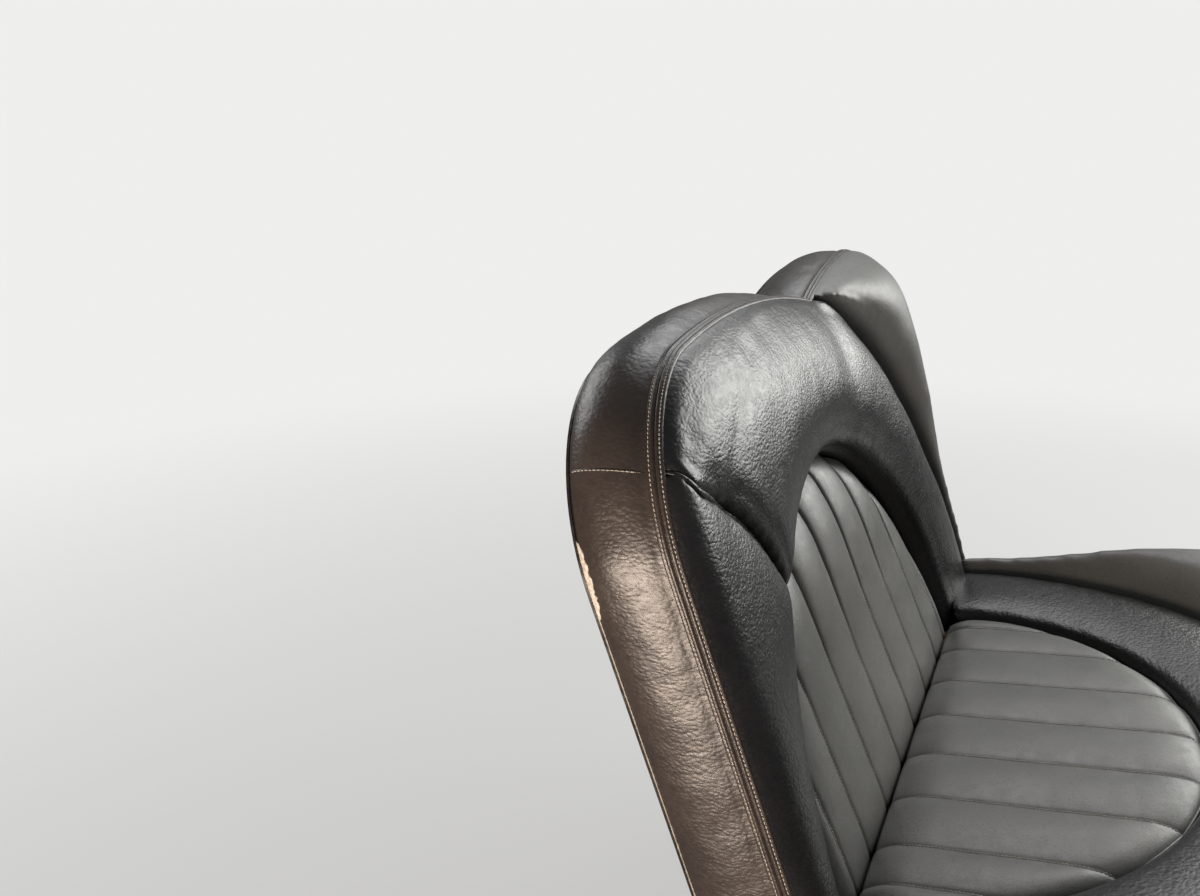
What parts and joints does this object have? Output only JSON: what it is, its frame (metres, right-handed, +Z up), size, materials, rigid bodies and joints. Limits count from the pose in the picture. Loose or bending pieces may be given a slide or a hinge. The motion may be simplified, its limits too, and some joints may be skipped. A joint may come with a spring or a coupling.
{
  "type": "limousine bench seat",
  "caption": "Fixed bench seat for a stretched passenger cabin: padded two-tone leather backrest and cushion with fluted panels, on a carpeted riser box.",
  "frame": {"origin": "on the floor, under the middle of the bench's bounding box", "axes": "+X along the bench from its aisle end to its wall end, -Y the way the seat faces, +Z up"},
  "size_m": [1.023, 0.7983, 0.8679],
  "materials": {
    "black_leather": "pebbled near-black leather with a soft sheen",
    "grey_leather": "smooth mid-grey leather",
    "black_vinyl": "plain black vinyl over the rear of the backrest",
    "riser_carpet": "dark short-pile carpet glued to plywood",
    "plywood": "raw plywood",
    "painted_steel": "black painted flat and angle steel",
    "edge_trim": "thin glossy dark edge strip, worn pale in places"
  },
  "bodies": {
    "root": {"back_arch_crown": "black_leather", "back_arch_leg": "black_leather", "back_band": "black_leather", "back_board": "plywood", "back_corner_panel": "grey_leather", "back_edge_trim": "edge_trim", "back_insert": "grey_leather", "back_rear_cover": "black_vinyl", "back_strap_aisle": "painted_steel", "back_strap_wall": "painted_steel", "cushion_band": "black_leather", "cushion_board": "plywood", "cushion_border": "black_leather", "cushion_corner_panel": "grey_leather", "cushion_insert": "grey_leather", "floor_angle_front": "painted_steel", "floor_angle_rear": "painted_steel", "riser_aisle_panel": "riser_carpet", "riser_cleats": "plywood", "riser_corner_panel": "riser_carpet", "riser_front_panel": "riser_carpet", "riser_rear_panel": "riser_carpet", "riser_rib": "plywood", "riser_wall_panel": "riser_carpet", "seat_deck": "plywood"}
  },
  "joints": []
}
